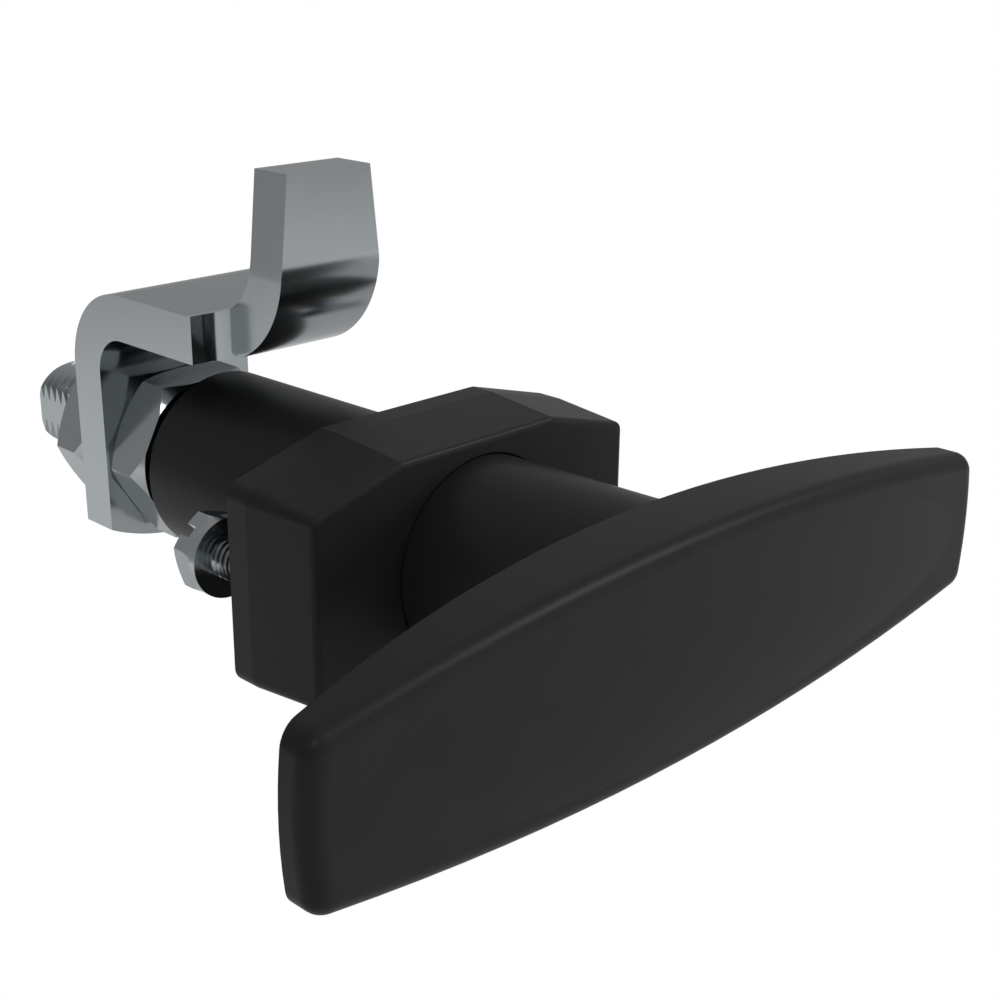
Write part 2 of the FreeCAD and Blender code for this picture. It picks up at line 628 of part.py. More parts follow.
barrel_ring = new_body("barrel_ring")
turned(barrel_ring, "ring", box_corners(
    "Dims.ring_inner", "Dims.ring_groove_radius", BUSH_REAR, RING_REAR), angle="360 - Dims.ring_gap")
lugs = new_sketch(barrel_ring, "lug_outline", "XZ_Plane", "-(%s)" % RING_REAR)
eyes = new_sketch(barrel_ring, "eye_outline", "XZ_Plane", "-(%s)" % RING_REAR)
for turn in ("-Dims.ring_lug_turn", "Dims.ring_lug_turn + Dims.ring_gap"):
    place = ("Dims.ring_inner * cos(%s)" % turn, "Dims.ring_inner * sin(%s)" % turn)
    circle(lugs, *place, "Dims.ring_lug_radius")
    circle(eyes, *place, "Dims.ring_eye_radius")
pad(barrel_ring, "lugs", lugs, "Dims.clip_thickness")
pocket(barrel_ring, "eyes", eyes, "Dims.clip_thickness", reverse=True)
barrel_ring.Placement = Placement(Vector(0, 0, 0), Rotation(Vector(0, 1, 0), 90 + size("ring_gap") / 2))
SUB_PARTS.append(barrel_ring)

# Guide sleeve: turns with the spindle and guides the cross pin straight

guide_sleeve = new_body("guide_sleeve")
turned(guide_sleeve, "turned_form", [
    ("Dims.guide_inner", "-Dims.guide_front"),
    ("Dims.guide_outer", "-Dims.guide_front"),
    ("Dims.guide_outer", COLLAR_FRONT),
    ("Dims.collar_radius", COLLAR_FRONT),
    ("Dims.collar_radius", COLLAR_REAR),
    ("Dims.tail_radius", COLLAR_REAR),
    ("Dims.tail_radius", TAIL_END),
    ("0", TAIL_END),
    ("0", COLLAR_REAR),
    ("Dims.guide_inner", COLLAR_REAR),
])
tail_hole = new_sketch(guide_sleeve, "tail_hole_outline", "XZ_Plane")
FLATS_HOLE = "Dims.flats_across + 2 * Dims.running_clearance"
double_d(tail_hole, "Dims.guide_inner", FLATS_HOLE)
pocket(guide_sleeve, "tail_hole", tail_hole)
SLOT_HALF = "Dims.pin_radius + Dims.slot_clearance"
pin_slots = new_sketch(guide_sleeve, "pin_slot_sides", "YZ_Plane")
polygon(pin_slots, box_corners(PIN_SLOT_FRONT, PIN_SLOT_REAR, "-(%s)" % SLOT_HALF, SLOT_HALF))
pocket(guide_sleeve, "pin_slots", pin_slots, both_ways=True)

# Stop lug on the back of the collar, drawn upright and turned to its latched end
LUG_START = -size("quarter_angle") / 2
lug_outline = new_sketch(guide_sleeve, "lug_outline", "XZ_Plane", "-(%s)" % COLLAR_REAR)
LUG_TURN = Rotation(Vector(0, 0, 1), LUG_START)
lug_outline.AttachmentOffset = Placement(lug_outline.AttachmentOffset.Base, LUG_TURN)
LUG_ROOT = "(Dims.tail_radius - %s)" % OVER
LUG_SIDE = LUG_ROOT + " * tan(Dims.lug_angle / 2)"
polygon(lug_outline, [
    ("-" + LUG_SIDE, LUG_ROOT),
    (LUG_SIDE, LUG_ROOT),
    ("Dims.collar_radius * sin(Dims.lug_angle / 2)", "Dims.collar_radius * cos(Dims.lug_angle / 2)"),
    ("-Dims.collar_radius * sin(Dims.lug_angle / 2)", "Dims.collar_radius * cos(Dims.lug_angle / 2)"),
])
pad(guide_sleeve, "stop_lug", lug_outline, "Dims.lug_length", reverse=True)
SUB_PARTS.append(guide_sleeve)

# Thrust washer between the drive sleeve's end and the guide collar

thrust_washer = new_body("thrust_washer")
turned(thrust_washer, "ring", box_corners(
    "Dims.guide_outer", "Dims.clip_outer", THRUST_FRONT, COLLAR_FRONT))
SUB_PARTS.append(thrust_washer)

# Handle: a lens-shaped T-grip and a round stem, one moulding with a crowned front

handle = new_body("handle")


def arc_radius(half_width, rise):
    """The radius of an arc that rises by so much over a half width."""
    return "(((%s)^2 + (%s)^2) / (2 * (%s)))" % (half_width, rise, rise)


# The crown is a shallow cap, curved along the grip by one arc and across it by
# turning that arc about a line behind the front, so its edge on the front is an oval
CROWN_HALF = "(Dims.grip_length / 2 - Dims.crown_end_inset)"
ALONG_RADIUS = arc_radius(CROWN_HALF, "Dims.crown_rise")
ACROSS_HALF = "(Dims.grip_height / 2 - Dims.crown_side_inset)"
ACROSS_RADIUS = arc_radius(ACROSS_HALF, "Dims.crown_rise")
CROWN_TOP = "(-Dims.grip_front - Dims.crown_rise)"
left_end, right_end = ("-" + CROWN_HALF, "-Dims.grip_front"), (CROWN_HALF, "-Dims.grip_front")
crown_side = new_sketch(handle, "crown_side")
crown_arc = arc(crown_side, left_end, ("0", CROWN_TOP), right_end,
                ("0", "%s + %s" % (CROWN_TOP, ALONG_RADIUS)), ALONG_RADIUS)
crown_chord = line(crown_side, right_end, left_end)
join_ends(crown_side, [crown_arc, crown_chord])
dimension(crown_side, "DistanceX", (-1, 1, crown_arc, 1), "-" + CROWN_HALF)
dimension(crown_side, "DistanceX", (-1, 1, crown_arc, 2), CROWN_HALF)
AXIS_STATION = "%s + %s" % (CROWN_TOP, ACROSS_RADIUS)
AXIS_ENDS = (("-" + CROWN_HALF, AXIS_STATION), (CROWN_HALF, AXIS_STATION))
crown_axis = line(crown_side, *AXIS_ENDS)
crown_side.setConstruction(crown_axis, True)
for end, place in enumerate(AXIS_ENDS, start=1):
    fix_point(crown_side, crown_axis, end, *place)
crown = handle.newObject("PartDesign::Revolution", "crown")
crown.Profile = crown_side
crown.ReferenceAxis = (crown_side, ["Axis0"])
crown.Midplane = True
# The cap is turned a little past its oval, then cut flat where it meets the grip
PAST_OVAL = "1.1"
crown.setExpression("Angle", "2 * %s * asin(%s / (%s))" % (PAST_OVAL, ACROSS_HALF, ACROSS_RADIUS))
cap_back = new_sketch(handle, "cap_back", "XZ_Plane", "Dims.grip_front")
polygon(cap_back, box_corners("-" + CROWN_HALF, CROWN_HALF, "-Dims.grip_height", "Dims.grip_height"))
pocket(handle, "cap_base", cap_back)

HALF = "(Dims.grip_length / 2)"
LONG_SAG = "((Dims.grip_height - Dims.grip_end_height) / 2)"
LONG_RADIUS = arc_radius(HALF, LONG_SAG)
END_HALF = "(Dims.grip_end_height / 2)"
END_RISE = "Dims.grip_end_rise"
END_RADIUS = arc_radius(END_HALF, END_RISE)

LONG_CENTRE = "(Dims.grip_height / 2 - %s)" % LONG_RADIUS
END_CENTRE = "(%s - %s)" % (HALF, END_RADIUS)
CORNER = "(%s - %s)" % (HALF, END_RISE)
outline = new_sketch(handle, "grip_outline", "XZ_Plane", "Dims.grip_rear")
top_right, top_left = (CORNER, END_HALF), ("-" + CORNER, END_HALF)
low_left, low_right = ("-" + CORNER, "-" + END_HALF), (CORNER, "-" + END_HALF)
join_ends(outline, [
    arc(outline, top_right, ("0", "Dims.grip_height / 2"), top_left, ("0", LONG_CENTRE), LONG_RADIUS),
    arc(outline, top_left, ("-" + HALF, "0"), low_left, ("-" + END_CENTRE, "0"), END_RADIUS),
    arc(outline, low_left, ("0", "-Dims.grip_height / 2"), low_right, ("0", "-" + LONG_CENTRE), LONG_RADIUS),
    arc(outline, low_right, (HALF, "0"), top_right, (END_CENTRE, "0"), END_RADIUS),
])
pad(handle, "grip_slab", outline, "Dims.grip_front - Dims.grip_rear")

BACK_SAG = "(Dims.grip_end_rear - Dims.grip_rear)"
BACK_RADIUS = arc_radius(HALF, BACK_SAG)
back_cut = new_sketch(handle, "back_outline")
beyond_arc(back_cut, HALF + " + " + OVER, "-Dims.grip_rear", BACK_RADIUS, 1)
curved = pocket(handle, "curved_back", back_cut, both_ways=True)


def is_grip_corner(edge):
    near_end = abs(middle(edge).x) > size("grip_length") / 2 - END_ZONE
    return near_end and abs(edge.tangentAt(edge.FirstParameter).y) > 0.9


rounded = dress(handle, "Fillet", "corner_rounds", curved, is_grip_corner, "Dims.grip_corner_round")


def is_grip_front(edge):
    """An edge of the flat front, but not the crown's oval on it."""
    place = middle(edge)
    outside = abs(place.x) > number(CROWN_HALF) or abs(place.z) > number(ACROSS_HALF) + NEAR
    return outside and all(abs(v.Point.y + size("grip_front")) < NEAR for v in edge.Vertexes)


dress(handle, "Fillet", "front_round", rounded, is_grip_front, "Dims.grip_edge_round")
STEM_TOP = "-(Dims.grip_rear + Dims.grip_front) / 2"
turned(handle, "stem", [
    ("0", STEM_END),
    ("Dims.stem_root_radius", STEM_END),
    ("Dims.stem_grip_radius", "-Dims.grip_rear"),
    ("Dims.stem_grip_radius", STEM_TOP),
    ("0", STEM_TOP),
])
groove(handle, "sleeve_bore", box_corners("0", "Dims.sleeve_outer", "-Dims.sleeve_front", "0"))
screw_hole = new_sketch(handle, "set_screw_hole_outline")
circle(screw_hole, "0", "-Dims.set_screw_station", "Dims.set_screw_radius")
pocket(handle, "set_screw_hole", screw_hole, "Dims.stem_grip_radius + " + OVER)

SUB_PARTS.append(handle)

# Drive sleeve: fixed in the stem, its two helical slots pull the cross pin

drive_sleeve = new_body("drive_sleeve")
turned(drive_sleeve, "tube", box_corners(
    "Dims.sleeve_inner", "Dims.sleeve_outer", "-Dims.sleeve_front", "Dims.sleeve_rear"))
groove(drive_sleeve, "clip_groove", box_corners(
    "Dims.clip_groove_radius", "Dims.sleeve_outer + " + OVER, CLIP_FRONT, CLIP_REAR))
point_hole = new_sketch(drive_sleeve, "point_hole_outline")
circle(point_hole, "0", "-Dims.set_screw_station", "Dims.set_screw_point + Dims.running_clearance")
pocket(drive_sleeve, "point_hole", point_hole, "Dims.sleeve_outer + " + OVER)

# A slot is cut by a radial rectangle that climbs one pull travel per stage turn.
# It is widened for the slope, and runs past the pin by its half angle, and this
# many degrees more, each way.
SLOPE_WIDENING = "1.22"
SLOT_END_ROOM = "1.5"
PITCH = "Dims.pull_travel * 360 / Dims.quarter_angle"
PIN_SHARE = "(Dims.pin_radius + Dims.slot_clearance) / Dims.sleeve_inner"
PIN_HALF_ANGLE = "(asin(%s) / 1 deg + %s)" % (PIN_SHARE, SLOT_END_ROOM)
SLOT_ANGLE = "(Dims.quarter_angle + 2 * %s)" % PIN_HALF_ANGLE
HELIX_LEAD = "Dims.pull_travel * %s / Dims.quarter_angle" % PIN_HALF_ANGLE
SLOT_START = "-Dims.pin_station - " + HELIX_LEAD
SLOT_HALF_WIDTH = "Dims.pin_radius * " + SLOPE_WIDENING
for side, name in (("", "right_slot"), ("-", "left_slot")):
    slot_side = new_sketch(drive_sleeve, name + "_side")
    slot_side.AttachmentOffset = Placement(Vector(), Rotation(Vector(0, 1, 0), -number(PIN_HALF_ANGLE)))
    polygon(slot_side, box_corners(
        side + "(Dims.sleeve_inner - %s)" % OVER, side + "(Dims.sleeve_outer + %s)" % OVER,
        "%s - %s" % (SLOT_START, SLOT_HALF_WIDTH), "%s + %s" % (SLOT_START, SLOT_HALF_WIDTH)))
    slot_cut = drive_sleeve.newObject("PartDesign::SubtractiveHelix", name)
    slot_cut.Profile = slot_side
    slot_cut.ReferenceAxis = (slot_side, ["V_Axis"])
    slot_cut.Mode = "pitch-height-angle"
    slot_cut.setExpression("Pitch", PITCH)
    slot_cut.setExpression("Height", "Dims.pull_travel * %s / Dims.quarter_angle" % SLOT_ANGLE)
SUB_PARTS.append(drive_sleeve)

# Drive clip: keeps the drive sleeve from being pulled out of the housing

drive_clip = new_body("drive_clip")
turned(drive_clip, "ring", box_corners(
    "Dims.clip_groove_radius", "Dims.clip_outer", CLIP_FRONT, CLIP_REAR), angle="360 - Dims.clip_gap")
SUB_PARTS.append(drive_clip)

# Set screw under the stem: its dog point locks the drive sleeve in the handle

set_screw = new_body("handle_set_screw")
screw_side = new_sketch(set_screw, "set_screw_side", "XZ_Plane", "Dims.set_screw_station")
POINT_END = "-Dims.sleeve_inner - Dims.set_screw_short"
polygon(screw_side, [
    ("0", POINT_END),
    ("Dims.set_screw_point", POINT_END),
    ("Dims.set_screw_point", "-Dims.sleeve_outer"),
    ("Dims.set_screw_radius", "-Dims.sleeve_outer - Dims.set_screw_cone"),
    ("Dims.set_screw_radius", "-Dims.set_screw_outer"),
    ("0", "-Dims.set_screw_outer"),
])
screw_form = set_screw.newObject("PartDesign::Revolution", "screw_form")
screw_form.Profile = screw_side
screw_form.ReferenceAxis = (screw_side, ["V_Axis"])
screw_form.Angle = 360
socket = new_sketch(set_screw, "socket_outline", "XY_Plane", "-Dims.set_screw_outer")
socket.setExpression(".AttachmentOffset.Base.y", "-Dims.set_screw_station")
regular(socket, 6, "Dims.set_screw_socket")
pocket(set_screw, "socket", socket, "Dims.set_screw_socket_depth", reverse=True)
SUB_PARTS.append(set_screw)

# Spindle: a threaded rod with two flats that turns the cam and carries the nuts

spindle = new_body("spindle")
turned(spindle, "rod", [
    ("0", "-Dims.spindle_front"),
    ("Dims.spindle_radius - Dims.spindle_chamfer", "-Dims.spindle_front"),
    ("Dims.spindle_radius", "-Dims.spindle_front + Dims.spindle_chamfer"),
    ("Dims.spindle_radius", SPINDLE_REAR + " - Dims.spindle_chamfer"),
    ("Dims.spindle_radius - Dims.spindle_chamfer", SPINDLE_REAR),
    ("0", SPINDLE_REAR),
])
flat_cuts = new_sketch(spindle, "flat_outlines", "XZ_Plane", "-Dims.flats_front")
SIDE_ROOM = "Dims.spindle_radius + " + OVER
polygon(flat_cuts, box_corners("Dims.flats_across / 2", SIDE_ROOM, "-(%s)" % SIDE_ROOM, SIDE_ROOM))
polygon(flat_cuts, box_corners("-(%s)" % SIDE_ROOM, "-Dims.flats_across / 2", "-(%s)" % SIDE_ROOM, SIDE_ROOM))
pocket(spindle, "flats", flat_cuts)
pin_hole = new_sketch(spindle, "pin_hole_outline", "YZ_Plane")
circle(pin_hole, "-Dims.pin_station", "0", "Dims.pin_radius")
pocket(spindle, "pin_hole", pin_hole, both_ways=True)
SUB_PARTS.append(spindle)

# Cross pin through the spindle, the guide slots and the helical slots

cross_pin = new_body("cross_pin")
pin_outline = new_sketch(cross_pin, "pin_outline", "YZ_Plane")
circle(pin_outline, "-Dims.pin_station", "0", "Dims.pin_radius")
pin_rod = pad(cross_pin, "pin_rod", pin_outline, "Dims.pin_length", both_ways=True)


def is_pin_end(edge):
    return abs(abs(middle(edge).x) - size("pin_length") / 2) < NEAR


dress(cross_pin, "Chamfer", "pin_ends", pin_rod, is_pin_end, "Dims.pin_chamfer")
SUB_PARTS.append(cross_pin)

# Spindle nuts: the front one sets the grip, the rear one locks the cam


def spindle_nut(label, front):
    nut = new_body(label)
    face = new_sketch(nut, "nut_outline", "XZ_Plane", "-(%s)" % front)
    regular(face, 6, "Dims.nut_across", "Dims.nut_turn")
    pad(nut, "nut_block", face, "Dims.nut_thickness", reverse=True)
    rear = front + " + Dims.nut_thickness"
    bore_ends = ("%s - %s" % (front, OVER), "%s + %s" % (rear, OVER))
    groove(nut, "thread_bore", box_corners("0", "Dims.spindle_radius", *bore_ends))
    for name, station, way in (("front_chamfer", front, -1), ("rear_chamfer", rear, 1)):
        hex_chamfer(nut, name, "Dims.nut_across", "Dims.nut_face_radius",
                    "Dims.nut_chamfer_slope", station, way)
    return nut


SUB_PARTS.append(spindle_nut("adjusting_nut", NUT_FRONT))
SUB_PARTS.append(spindle_nut("lock_nut", CAM_REAR))

# Cam: a thick strap bent forward over the barrel, then up to the clamping tongue

cam = new_body("cam")
strap_side = new_sketch(cam, "strap_side", "YZ_Plane")
RUN_BOTTOM = "Dims.cam_run_height - Dims.cam_thickness"
TONGUE_BACK = "Dims.tongue_face + Dims.cam_thickness"
STRAP_END = "-Dims.cam_drop - " + OVER
polygon(strap_side, [
    (CAM_FRONT, STRAP_END),
    (CAM_FRONT, RUN_BOTTOM),
    ("Dims.tongue_face", RUN_BOTTOM),
    ("Dims.tongue_face", "Dims.tongue_top"),
    (TONGUE_BACK, "Dims.tongue_top"),
    (TONGUE_BACK, "Dims.cam_run_height"),
    (CAM_REAR, "Dims.cam_run_height"),
    (CAM_REAR, STRAP_END),
])
strap = pad(cam, "strap", strap_side, "Dims.cam_width", both_ways=True)
rear_face = number(CAM_FRONT)
tongue = size("tongue_face")
thick = size("cam_thickness")
run_top = size("cam_run_height")
bends = [
    ("rear_bend_inside", rear_face, run_top - thick, "Dims.cam_rear_bend"),
    ("rear_bend_outside", rear_face + thick, run_top, "Dims.cam_rear_bend + Dims.cam_thickness"),
    ("front_bend_outside", tongue, run_top - thick, "Dims.cam_front_bend + Dims.cam_thickness"),
    ("front_bend_inside", tongue + thick, run_top, "Dims.cam_front_bend"),
]
for name, station, height, radius in bends:
    def is_bend(edge, station=station, height=height):
        place = middle(edge)
        return abs(place.y - station) < NEAR and abs(place.z - height) < NEAR
    strap = dress(cam, "Fillet", name, strap, is_bend, radius)

step_cuts = new_sketch(cam, "step_outlines")
for side in ("", "-"):
    inner = side + "Dims.tongue_width / 2"
    outer = side + "(Dims.cam_width / 2 + %s)" % OVER
    polygon(step_cuts, box_corners(inner, outer, "Dims.tongue_face - " + OVER, "Dims.step_station"))
stepped = pocket(cam, "steps", step_cuts, both_ways=True)


def is_step_corner(edge):
    place = middle(edge)
    at_side = abs(abs(place.x) - size("tongue_width") / 2) < NEAR
    return at_side and abs(place.y - size("step_station")) < NEAR


dress(cam, "Fillet", "step_fillets", stepped, is_step_corner, "Dims.step_round")
taper_cuts = new_sketch(cam, "taper_outlines", "XZ_Plane")
TAPER_RISE = "(Dims.tongue_top - Dims.tongue_taper_start)"
TAPER_SLOPE = "((Dims.tongue_width - Dims.tongue_top_width) / 2 / %s)" % TAPER_RISE
for side in ("", "-"):
    inner = side + "Dims.tongue_width / 2"
    outer = side + "(Dims.tongue_width / 2 + %s)" % OVER
    above = "%s(Dims.tongue_top_width / 2 - %s * %s)" % (side, OVER, TAPER_SLOPE)
    polygon(taper_cuts, [
        (inner, "Dims.tongue_taper_start"),
        (outer, "Dims.tongue_taper_start"),
        (outer, "Dims.tongue_top + " + OVER),
        (above, "Dims.tongue_top + " + OVER),
    ])
pocket(cam, "taper", taper_cuts)
lower_end = new_sketch(cam, "lower_end_outline", "XZ_Plane")
beyond_arc(lower_end, "(Dims.cam_width / 2 + %s)" % OVER, "-Dims.cam_drop", "Dims.cam_drop_radius", -1)
pocket(cam, "rounded_end", lower_end)
spindle_hole = new_sketch(cam, "spindle_hole_outline", "XZ_Plane")
HOLE_RADIUS = "Dims.spindle_radius + Dims.running_clearance"
double_d(spindle_hole, HOLE_RADIUS, FLATS_HOLE)
pocket(cam, "spindle_hole", spindle_hole)
SUB_PARTS.append(cam)

# Spring inside the drive sleeve: pushes the spindle back out when it is released.
# Nothing shows of it, so its round wire is drawn with eight sides

return_spring = new_body("return_spring")
wire = new_sketch(return_spring, "wire_section")
FIRST_TURN = "-Dims.sleeve_front + Dims.spring_wire / 2 + Dims.spring_room"
regular(wire, 8, "Dims.spring_wire", 22.5, ("Dims.spring_radius", FIRST_TURN))
coil = return_spring.newObject("PartDesign::AdditiveHelix", "coil")
coil.Profile = wire
coil.ReferenceAxis = (wire, ["V_Axis"])
coil.Mode = "height-turns-angle"
SPRING_ROOM = "Dims.sleeve_front - Dims.spindle_front"
coil.setExpression("Height", SPRING_ROOM + " - Dims.spring_wire - 2 * Dims.spring_room")
coil.setExpression("Turns", "Dims.spring_turns")
SUB_PARTS.append(return_spring)

# Checks, then one file for each piece

doc.removeObject(scale.Name)
doc.recompute()
failed = [o.Label for o in doc.Objects if "Invalid" in o.State or "Error" in o.State]
if failed:
    raise RuntimeError("not built: " + ", ".join(failed))

os.makedirs("parts", exist_ok=True)
for part in SUB_PARTS:
    if part.Shape.isNull() or not part.Shape.isValid():
        raise RuntimeError("no sound shape: " + part.Label)
    part.Shape.exportStep("parts/%s.step" % part.Label)
    box = part.Shape.BoundBox
    print("%-18s %d solid  %8.1f mm3  x %.2f..%.2f  y %.2f..%.2f  z %.2f..%.2f" % (
        part.Label, len(part.Shape.Solids), part.Shape.Volume,
        box.XMin, box.XMax, box.YMin, box.YMax, box.ZMin, box.ZMax))
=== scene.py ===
# %% [markdown]
# # A black T-handle compression latch on a white ground
#
# The latch closes a cabinet door. A black moulded handle turns a steel spindle inside a black
# housing, and a bent steel cam at the far end of the spindle hooks behind the cabinet frame.
# The shapes come in as a finished model, one object for each real piece. This lesson gives every
# piece its surface, cuts the real threads that the plain model leaves out, and lights the whole.

# %% Load the frame
import json
import math

import bpy
from mathutils import Matrix, Vector


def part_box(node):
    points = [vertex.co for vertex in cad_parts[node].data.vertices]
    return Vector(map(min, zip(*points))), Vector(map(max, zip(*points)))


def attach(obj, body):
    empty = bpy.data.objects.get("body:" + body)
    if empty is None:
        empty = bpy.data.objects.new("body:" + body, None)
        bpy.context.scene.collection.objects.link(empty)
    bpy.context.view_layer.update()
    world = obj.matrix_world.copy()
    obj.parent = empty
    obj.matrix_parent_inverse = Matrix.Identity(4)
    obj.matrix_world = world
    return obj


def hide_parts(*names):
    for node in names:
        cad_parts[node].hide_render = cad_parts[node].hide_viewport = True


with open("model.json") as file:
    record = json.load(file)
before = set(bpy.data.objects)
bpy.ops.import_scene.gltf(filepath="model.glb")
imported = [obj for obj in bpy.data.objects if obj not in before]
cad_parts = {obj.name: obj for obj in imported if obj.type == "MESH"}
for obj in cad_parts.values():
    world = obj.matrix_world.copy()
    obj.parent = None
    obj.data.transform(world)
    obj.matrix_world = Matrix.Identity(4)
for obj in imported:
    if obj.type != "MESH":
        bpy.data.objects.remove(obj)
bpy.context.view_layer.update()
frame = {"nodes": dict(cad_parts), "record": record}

MM = 0.001


# %% [markdown]
# ## The camera
#
# The picture was taken from the front left and a little above, quite close, so the near end of the
# handle looks much larger than the far nuts. A camera can be aimed by its place and three turns:
# how far it turns right from straight ahead, how far it dips, and how far it rolls. Three numbers
# like that are easy to read and to change, so the camera is placed by them.

# %% Camera
CAMERA_PLACE = Vector((-97.64, -108.67, 56.58)) * MM
CAMERA_TURN = math.radians(45.63)
CAMERA_DIP = math.radians(20.22)
CAMERA_ROLL = math.radians(0.56)
CAMERA_LENS = 58.86
CAMERA_SENSOR = 36.0
CLEAR_AHEAD = 10 * MM

lens = bpy.data.cameras.new("camera")
lens.sensor_width = CAMERA_SENSOR
lens.lens = CAMERA_LENS
lens.clip_start = CLEAR_AHEAD
camera = bpy.data.objects.new("camera", lens)
bpy.context.scene.collection.objects.link(camera)
camera.matrix_world = (
    Matrix.Translation(CAMERA_PLACE)
    @ Matrix.Rotation(-CAMERA_TURN, 4, "Z")
    @ Matrix.Rotation(math.pi / 2 - CAMERA_DIP, 4, "X")
    @ Matrix.Rotation(CAMERA_ROLL, 4, "Z")
)
bpy.context.scene.camera = camera
ahead = camera.matrix_world.to_3x3() @ Vector((0, 0, -1))
print("camera looks along", [round(part, 3) for part in ahead])

# %% [markdown]
# ## Shader sums written as sums
#
# A material is a graph of nodes. Wiring each Math node by hand hides what is worked out, so one
# small class wraps a node's output and lets it be added and multiplied in plain Python, and each
# sum quietly adds its Math node. Any other node comes from one method, called node, and three short
# ones use it for what most finishes need: a noise, a mix of two colours and a bump.

# %% A wire that can be added and multiplied
class Wire:
    """An output of a node. Sums and products of wires add Math nodes to the same tree."""

    def __init__(self, tree, socket=None):
        self.tree = tree
        self.socket = socket

    def node(self, kind, settings=None, sockets=None, output=0):
        """Makes a node of this kind, sets it up, and gives back one of its outputs."""
        made = self.tree.nodes.new(kind)
        for name, value in (settings or {}).items():
            if name == "stops":
                ramp = made.color_ramp
                while len(ramp.elements) < len(value):
                    ramp.elements.new(0.5)
                for stop, (place, grey) in zip(ramp.elements, value):
                    stop.position = place
                    stop.color = (grey, grey, grey, 1.0)
            else:
                setattr(made, name, value)
        for name, value in (sockets or {}).items():
            if isinstance(value, Wire):
                self.tree.links.new(value.socket, made.inputs[name])
            else:
                made.inputs[name].default_value = value
        return Wire(self.tree, made.outputs[output] if len(made.outputs) else None)

    def maths(self, operation, *values):
        return self.node("ShaderNodeMath", {"operation": operation}, dict(enumerate(values)))

    def __add__(self, other):
        return self.maths("ADD", self, other)

    def __radd__(self, other):
        return self.maths("ADD", other, self)

    def __mul__(self, other):
        return self.maths("MULTIPLY", self, other)

    def __rmul__(self, other):
        return self.maths("MULTIPLY", other, self)

    def noise(self, spots, detail=2.0):
        """Smooth noise from 0 to 1 whose spots are about this many metres across."""
        place = self.node("ShaderNodeTexCoord", output="Object")
        return self.node(
            "ShaderNodeTexNoise", None, {"Vector": place, "Scale": 1 / spots, "Detail": detail}
        )

    def tint(self, share, first, second):
        """The first colour where the share is 0 and the second where it is 1."""
        colours = {0: share, 6: (*first, 1.0), 7: (*second, 1.0)}
        return self.node("ShaderNodeMix", {"data_type": "RGBA"}, colours, 2)

    def bump(self, height, depth):
        """A normal that makes the height, from 0 to 1, stand this many metres proud."""
        return self.node("ShaderNodeBump", None, {"Height": height, "Distance": depth})


def new_material(name):
    """An empty material, and a wire to start its nodes from."""
    material = bpy.data.materials.new(name)
    material.use_nodes = True
    material.node_tree.nodes.clear()
    return material, Wire(material.node_tree)


def finish_with(start, **sockets):
    """Ends a material with one Principled shader whose sockets are named with underscores."""
    named = {name.replace("_", " "): value for name, value in sockets.items()}
    skin = start.node("ShaderNodeBsdfPrincipled", None, named)
    start.node("ShaderNodeOutputMaterial", None, {"Surface": skin})


print("wires can be added and multiplied")

# %% [markdown]
# ## Black moulded polyamide
#
# The handle, the housing and the bush inside it are glass-filled polyamide. Its black is a very
# dark grey with a dull sheen, almost the same all over, and close up the mould's fine spark grain
# breaks the highlights a little. A flat black would look like a hole, so the colour wanders by a
# hair, the roughness by a little more, and two sizes of grain feed a shallow bump.

# %% Black polyamide
def black_polyamide():
    material, start = new_material("black_polyamide")
    flow = start.noise(6 * MM, 3.0)
    grain = start.noise(0.22 * MM, 2.0)
    pores = start.noise(0.7 * MM, 1.0)
    finish_with(
        start,
        Base_Color=start.tint(flow, (0.0172, 0.0172, 0.0173), (0.0213, 0.0213, 0.0214)),
        Roughness=0.30 + 0.06 * flow + 0.04 * grain,
        Specular_IOR_Level=0.12,
        Normal=start.bump(grain * 0.7 + pores * 0.3, 0.004 * MM),
    )
    return material


finishes = {"black_polyamide": black_polyamide()}
print("black polyamide:", len(finishes["black_polyamide"].node_tree.nodes), "shader nodes")

# %% [markdown]
# ## Zinc-plated steel
#
# The cam, nuts, screws and spindle are steel with a thin clear-blue zinc plating. It is metal, so
# its colour is its reflection: a grey with a breath of blue. The plating is faintly cloudy, which
# the colour and the roughness follow, and a fine grain softens the sharpest reflections.

# %% Zinc-plated steel
def zinc_plated_steel():
    material, start = new_material("zinc_plated_steel")
    cloud = start.noise(5 * MM, 3.0)
    grain = start.noise(0.3 * MM, 2.0)
    finish_with(
        start,
        Base_Color=start.tint(cloud, (0.405, 0.435, 0.455), (0.445, 0.475, 0.49)),
        Metallic=1.0,
        Roughness=0.13 + 0.05 * cloud + 0.02 * grain,
        Normal=start.bump(grain, 0.0004 * MM),
    )
    return material


finishes["plated_steel"] = zinc_plated_steel()
print("zinc-plated steel:", len(finishes["plated_steel"].node_tree.nodes), "shader nodes")

# %% [markdown]
# ## Spring steel and brass
#
# The small inner pieces show when the latch is taken apart. Springs and clips are oiled blue-grey
# steel, and the threaded inserts in the flange are brass with a little tarnish. Both are metals and
# are made as the plating is, but rougher, so that they mirror less of the room.

# %% Inner metals
def spring_steel():
    material, start = new_material("spring_steel")
    cloud = start.noise(2 * MM, 3.0)
    finish_with(
        start,
        Base_Color=start.tint(cloud, (0.20, 0.21, 0.225), (0.27, 0.275, 0.285)),
        Metallic=1.0,
        Roughness=0.27 + 0.12 * cloud,
        Normal=start.bump(start.noise(0.2 * MM), 0.0015 * MM),
    )
    return material


